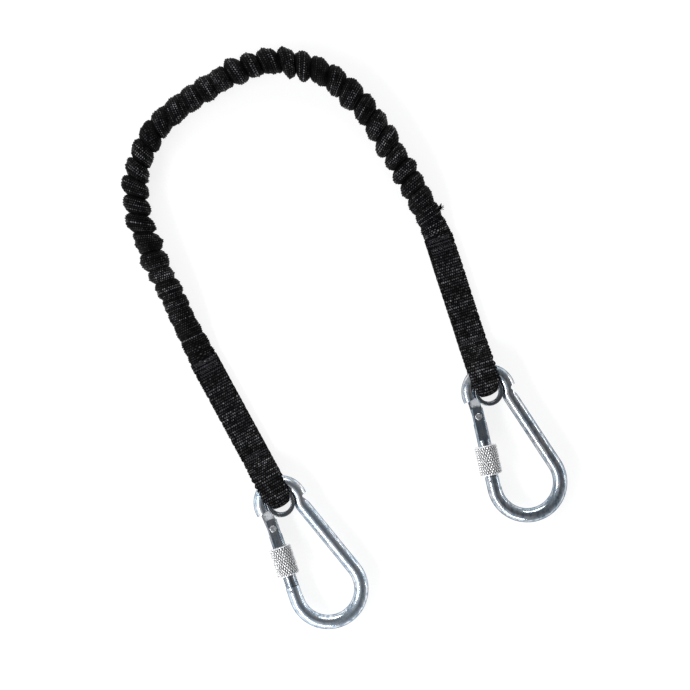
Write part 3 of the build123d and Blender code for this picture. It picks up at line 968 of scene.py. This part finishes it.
def make_sleeve(side, material):
    """A nut with a diamond knurl outside, chamfered ends, and a bore with a wider mouth for the nose."""
    centre = np.array(middle(f"{side}_lock_sleeve")) / MM
    along = -np.array(JOINTS[f"{side}_sleeve_travel"]["axis"], float)
    upward = np.array([0.0, 0.0, 1.0])
    sideways = np.cross(upward, along)
    around = KNURLS * KNURL_STEPS
    angle = np.arange(around) * 2 * math.pi / around
    t = np.linspace(0, SLEEVE_LENGTH, round(SLEEVE_LENGTH / KNURL_LEAD * KNURL_STEPS) + 1)
    from_end = np.minimum(t, SLEEVE_LENGTH - t)[:, None]
    height = knurl(angle, t)
    knurled = SLEEVE_RADIUS - KNURL_DEPTH + KNURL_DEPTH * height
    outside = np.minimum(knurled, SLEEVE_RADIUS - SLEEVE_CHAMFER + from_end)
    inside = sleeve_inside()
    at = np.concatenate([t, [place for place, _ in inside]])
    radius = np.concatenate([outside, [np.full(around, radius) for _, radius in inside]])
    points = (
        centre + (at - SLEEVE_LENGTH / 2)[:, None, None] * along
        + (radius * np.cos(angle))[..., None] * sideways + (radius * np.sin(angle))[..., None] * upward
    )
    on_outside = np.where(from_end < SLEEVE_CHAMFER, CHAMFER_SHINE, height)
    painted_light = np.concatenate([on_outside, np.full((len(inside), around), BORE_SHINE)])
    faces = tube_faces(len(at), around, caps=False)
    # the bore's last ring joins the outside's first one
    column = np.arange(around)
    after = (column + 1) % around
    last = (len(at) - 1) * around
    faces += np.stack([last + column, last + after, after, column], -1).tolist()
    faces = [face[::-1] for face in faces]
    piece = new_mesh(f"{side}_knurled_sleeve", points * MM, faces, values={"painted_light": painted_light})
    piece.data.materials.append(material)
    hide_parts(f"{side}_lock_sleeve")
    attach(piece, f"{side}_sleeve")


# ---- the springs inside the gates ----

SPRING_TURNS = 7
SPRING_STEPS = 24              # points in each turn
SPRING_LENGTH = 10.16
SPRING_RADIUS = 1.23
SPRING_WIRE = 0.21


def make_spring(side, material):
    """The gate spring, as a fixed coil carried by the gate; the real one shortens away from the plunger as
    the gate opens.
    """
    centre = np.array(middle(f"{side}_gate_spring")) / MM
    along = -np.array(JOINTS[f"{side}_sleeve_travel"]["axis"], float)
    sideways = np.cross((0.0, 0.0, 1.0), along)
    t = np.linspace(0, 1, SPRING_TURNS * SPRING_STEPS + 1)[:, None]
    angle = t * SPRING_TURNS * 2 * math.pi
    path = centre + (t - 0.5) * SPRING_LENGTH * along + SPRING_RADIUS * (
        np.cos(angle) * sideways + np.sin(angle) * np.array([[0.0, 0.0, 1.0]])
    )
    piece = threads(f"{side}_coil_spring", [path * MM], SPRING_WIRE * MM, 10)
    piece.data.materials.append(material)
    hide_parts(f"{side}_gate_spring")
    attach(piece, f"{side}_gate")
    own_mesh(piece)


# ---- floor and light ----

FLOOR_GLOW = 0.83
FLOOR_SIZE = 6.0
FLOOR_BELOW = 0.0002
# grey of the surroundings: by height from the horizon to overhead, and by how far towards the windows
WORLD_BY_HEIGHT = ((0.0, 0.6), (0.15, 0.46), (0.4, 0.3), (0.65, 0.21), (0.86, 0.15), (1.0, 0.12))
WORLD_BY_SIDE = ((0.0, 0.0), (0.5, 0.0), (0.9, 0.5))
WINDOWS = (-0.74, -0.42, 0.52)
SEEN_WORLD = (0.98, 0.98, 0.98, 1.0)
# each soft box: where it stands from the middle of the view, its size, and its power in watts
LIGHTS = {
    "softbox_left": ((-1.0, -0.5, 0.95), (1.5, 0.18), 12.0),
    "softbox_back": ((-0.15, 1.25, 0.7), (1.1, 0.4), 10.0),
    "softbox_right": ((1.3, 0.3, 0.22), (0.9, 0.12), 1.6),
    "softbox_front": ((-0.3, -1.3, 0.5), (0.8, 0.22), 5.0),
}


def make_floor():
    """A plain pale floor, just under the lanyard."""
    corners = [(x * FLOOR_SIZE, y * FLOOR_SIZE, 0) for x, y in ((-1, -1), (1, -1), (1, 1), (-1, 1))]
    floor = new_mesh("floor", corners, [[0, 1, 2, 3]], smooth=False)
    floor.location.z = -FLOOR_BELOW
    floor.data.materials.append(floor_material())


def greys(stops):
    """Stops of a colour ramp, from places and greys: each grey is a little blue."""
    return [(at, (grey * 0.97, grey * 0.99, grey * 1.03)) for at, grey in stops]


def make_world():
    """Dim surroundings for the metal to reflect, brighter towards the windows, and pale to the camera."""
    world = bpy.data.worlds.new("world")
    world.use_nodes = True
    bpy.context.scene.world = world
    nodes = Nodes(world.node_tree)
    way = nodes.add("ShaderNodeTexCoord").outputs["Generated"]
    height = nodes.add("ShaderNodeSeparateXYZ", {0: way}).outputs["Z"]
    towards = nodes.add("ShaderNodeVectorMath", {0: way, 1: WINDOWS}, operation="DOT_PRODUCT")
    by_height = nodes.ramp(height, *greys(WORLD_BY_HEIGHT))
    by_side = nodes.ramp(towards.outputs["Value"], *greys(WORLD_BY_SIDE))
    seen = nodes.add("ShaderNodeLightPath").outputs["Is Camera Ray"]
    colour = nodes.mix("MIX", seen, nodes.mix("ADD", 1.0, by_height, by_side), SEEN_WORLD)
    background = nodes.tree.nodes["Background"]
    nodes.put(background.inputs["Color"], colour)
    nodes.put(background.inputs["Strength"], 1.0)


def make_light(name, place, size, power):
    """A soft box that faces the middle of the view."""
    data = bpy.data.lights.new(name, "AREA")
    data.shape = "RECTANGLE"
    data.size, data.size_y = size
    data.energy = power
    lamp = bpy.data.objects.new(name, data)
    bpy.context.scene.collection.objects.link(lamp)
    target = Vector((*VIEW_CENTRE, 0.0))
    lamp.location = target + Vector(place)
    lamp.rotation_mode = "QUATERNION"
    lamp.rotation_quaternion = Vector(place).to_track_quat("Z", "Y")


make_camera()
make_world()
for name, (place, size, power) in LIGHTS.items():
    make_light(name, place, size, power)
make_floor()
bpy.context.scene.view_settings.view_transform = "Standard"

webbing = webbing_material()
thread = thread_material()
rubber = rubber_material()
steel = steel_material()
knurled = knurled_material()

centre_line = route_line()
cover = make_cover(centre_line, webbing)
core = make_core(centre_line, rubber)
for piece, thickness in ((cover, COVER_DIAMETER), (core, CORE_DIAMETER)):
    stretches(piece)
make_tuft(centre_line, webbing)

for side in SIDES:
    hook_turn = -math.atan2(*JOINTS[f"{side}_sleeve_travel"]["axis"][:2])
    make_strap(side, webbing)
    make_tacks(side, thread)
    make_sleeve(side, knurled)
    bright, rough = WIRE_PAINTED_LIGHT[side], WIRE_ROUGH[side]
    wire = zinc_material(f"{side}_zinc_wire", hook_turn, bright, rough, crimp_place(side))
    wear(f"{side}_carabiner_body", wire)
    wear(f"{side}_eye_thimble", zinc_material(f"{side}_zinc_thimble", 0.0, THIMBLE_PAINTED_SHADE, THIMBLE_ROUGH))
    wear(f"{side}_gate", zinc_material(f"{side}_zinc_gate", hook_turn, GATE_PAINTED_SHADE, GATE_ROUGH))
    make_spring(side, steel)
    for name in ("hinge_rivet", "latch_pin", "gate_plunger"):
        wear(f"{side}_{name}", steel)
